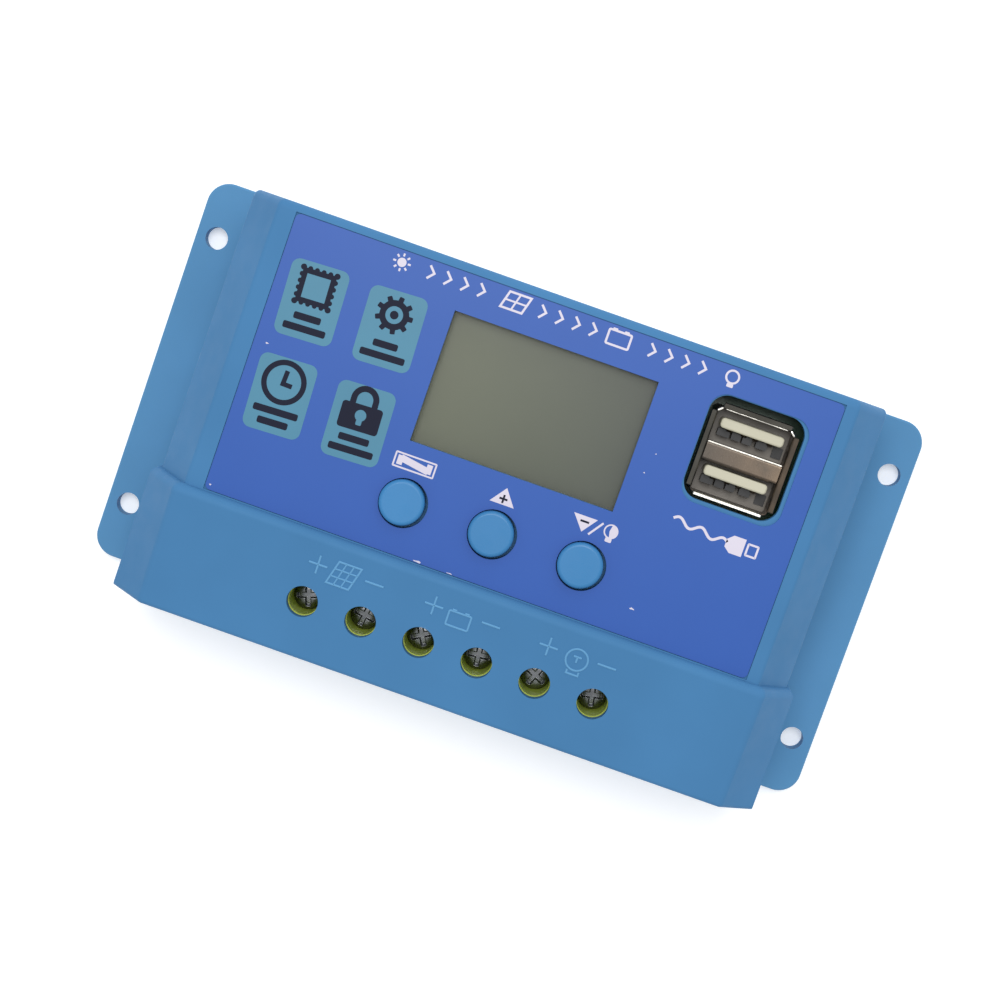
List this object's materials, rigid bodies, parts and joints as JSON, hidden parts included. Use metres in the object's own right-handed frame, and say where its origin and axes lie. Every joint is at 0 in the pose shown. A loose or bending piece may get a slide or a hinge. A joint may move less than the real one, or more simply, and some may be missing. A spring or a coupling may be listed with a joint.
{
  "type": "charge controller",
  "caption": "Flanged blue solar charge controller with a small display, push buttons, two power sockets and a row of screw terminals under a raised hood.",
  "frame": {"origin": "centre of the base's underside", "axes": "+Z out of the label, +X to the right along the row of terminals, -Y towards the terminals' wire entries"},
  "size_m": [0.1334, 0.0712, 0.035],
  "materials": {
    "case_blue": "lightly grained blue moulding",
    "label_blue": "printed blue polyester sheet with pale symbols",
    "window_clear": "clear plastic pane",
    "lcd_glass": "grey-green display glass, nothing shown on it",
    "backlight_white": "milky light guide",
    "frame_white": "white moulding",
    "button_cyan": "smooth cyan-blue moulding",
    "switch_black": "black moulding",
    "bright_steel": "bright pressed steel",
    "dull_steel": "dull nickel-plated steel",
    "zinc_steel": "zinc-plated steel",
    "usb_white": "off-white moulding",
    "gold_contact": "gold-plated strip",
    "terminal_green": "green terminal moulding",
    "tinned_copper": "tinned copper strip",
    "board_green": "green coated board",
    "sink_aluminium": "plain aluminium bar",
    "chip_black": "black moulded package",
    "tab_tin": "tinned tab and leads",
    "ferrite": "dark ferrite",
    "coil_copper": "enamelled copper winding",
    "can_black": "dark sleeved can"
  },
  "bodies": {
    "case": {"base_plate": "case_blue", "top_cover": "case_blue", "case_screws": "zinc_steel", "front_label": "label_blue", "display_window": "window_clear", "lcd_front_glass": "lcd_glass", "lcd_rear_glass": "lcd_glass", "lcd_backlight": "backlight_white", "lcd_frame": "frame_white", "lcd_pins": "tab_tin", "switch_housings": "switch_black", "switch_covers": "bright_steel", "switch_legs": "tab_tin", "switch_domes": "bright_steel", "usb_shell": "dull_steel", "usb_insulator": "usb_white", "usb_contacts": "gold_contact", "terminal_housings": "terminal_green", "terminal_busbars": "tinned_copper", "power_board": "board_green", "control_board": "board_green", "board_spacers": "frame_white", "spacer_screws": "zinc_steel", "power_board_screws": "zinc_steel", "heat_sink": "sink_aluminium", "mosfet_bodies": "chip_black", "mosfet_tabs": "tab_tin", "heat_sink_screws": "zinc_steel", "choke_core": "ferrite", "choke_coil": "coil_copper", "regulator_chip": "chip_black", "microcontroller": "chip_black", "crystal": "bright_steel", "board_socket": "switch_black", "board_header": "switch_black", "shunt_resistor": "tinned_copper", "power_diodes": "chip_black", "bulk_capacitors": "can_black", "small_parts": "chip_black"},
    "button_mode": {"button_cap_mode": "button_cyan", "plunger_mode": "switch_black"},
    "button_up": {"button_cap_up": "button_cyan", "plunger_up": "switch_black"},
    "button_down": {"button_cap_down": "button_cyan", "plunger_down": "switch_black"},
    "screw_1": {"terminal_screw_1": "zinc_steel"},
    "screw_2": {"terminal_screw_2": "zinc_steel"},
    "screw_3": {"terminal_screw_3": "zinc_steel"},
    "screw_4": {"terminal_screw_4": "zinc_steel"},
    "screw_5": {"terminal_screw_5": "zinc_steel"},
    "screw_6": {"terminal_screw_6": "zinc_steel"},
    "cage_1": {"clamp_cage_1": "zinc_steel"},
    "cage_2": {"clamp_cage_2": "zinc_steel"},
    "cage_3": {"clamp_cage_3": "zinc_steel"},
    "cage_4": {"clamp_cage_4": "zinc_steel"},
    "cage_5": {"clamp_cage_5": "zinc_steel"},
    "cage_6": {"clamp_cage_6": "zinc_steel"}
  },
  "joints": [
    {"name": "press_mode", "type": "slide", "parent": "case", "child": "button_mode", "axis": [0, 0, -1], "range_m": [0, 0.0003], "stiffness_N_per_m": 3000, "springref_m": -0.0002},
    {"name": "press_up", "type": "slide", "parent": "case", "child": "button_up", "axis": [0, 0, -1], "range_m": [0, 0.0003], "stiffness_N_per_m": 3000, "springref_m": -0.0002},
    {"name": "press_down", "type": "slide", "parent": "case", "child": "button_down", "axis": [0, 0, -1], "range_m": [0, 0.0003], "stiffness_N_per_m": 3000, "springref_m": -0.0002},
    {"name": "turn_screw_1", "type": "hinge", "parent": "case", "child": "screw_1", "pos_m": [-0.0254, -0.026, 0.0245], "axis": [0, 0, -1], "range_deg": [0, 1852]},
    {"name": "turn_screw_2", "type": "hinge", "parent": "case", "child": "screw_2", "pos_m": [-0.01524, -0.026, 0.0245], "axis": [0, 0, -1], "range_deg": [0, 1852]},
    {"name": "turn_screw_3", "type": "hinge", "parent": "case", "child": "screw_3", "pos_m": [-0.00508, -0.026, 0.0245], "axis": [0, 0, -1], "range_deg": [0, 1852]},
    {"name": "turn_screw_4", "type": "hinge", "parent": "case", "child": "screw_4", "pos_m": [0.00508, -0.026, 0.0245], "axis": [0, 0, -1], "range_deg": [0, 1852]},
    {"name": "turn_screw_5", "type": "hinge", "parent": "case", "child": "screw_5", "pos_m": [0.01524, -0.026, 0.0245], "axis": [0, 0, -1], "range_deg": [0, 1852]},
    {"name": "turn_screw_6", "type": "hinge", "parent": "case", "child": "screw_6", "pos_m": [0.0254, -0.026, 0.0245], "axis": [0, 0, -1], "range_deg": [0, 1852]},
    {"name": "lift_cage_1", "type": "slide", "parent": "case", "child": "cage_1", "axis": [0, 0, 1], "range_m": [0, 0.0036]},
    {"name": "lift_cage_2", "type": "slide", "parent": "case", "child": "cage_2", "axis": [0, 0, 1], "range_m": [0, 0.0036]},
    {"name": "lift_cage_3", "type": "slide", "parent": "case", "child": "cage_3", "axis": [0, 0, 1], "range_m": [0, 0.0036]},
    {"name": "lift_cage_4", "type": "slide", "parent": "case", "child": "cage_4", "axis": [0, 0, 1], "range_m": [0, 0.0036]},
    {"name": "lift_cage_5", "type": "slide", "parent": "case", "child": "cage_5", "axis": [0, 0, 1], "range_m": [0, 0.0036]},
    {"name": "lift_cage_6", "type": "slide", "parent": "case", "child": "cage_6", "axis": [0, 0, 1], "range_m": [0, 0.0036]}
  ],
  "couplings": [
    {"joint": "turn_screw_1", "follows": "lift_cage_1", "rad_per_m": 8976},
    {"joint": "turn_screw_2", "follows": "lift_cage_2", "rad_per_m": 8976},
    {"joint": "turn_screw_3", "follows": "lift_cage_3", "rad_per_m": 8976},
    {"joint": "turn_screw_4", "follows": "lift_cage_4", "rad_per_m": 8976},
    {"joint": "turn_screw_5", "follows": "lift_cage_5", "rad_per_m": 8976},
    {"joint": "turn_screw_6", "follows": "lift_cage_6", "rad_per_m": 8976}
  ]
}
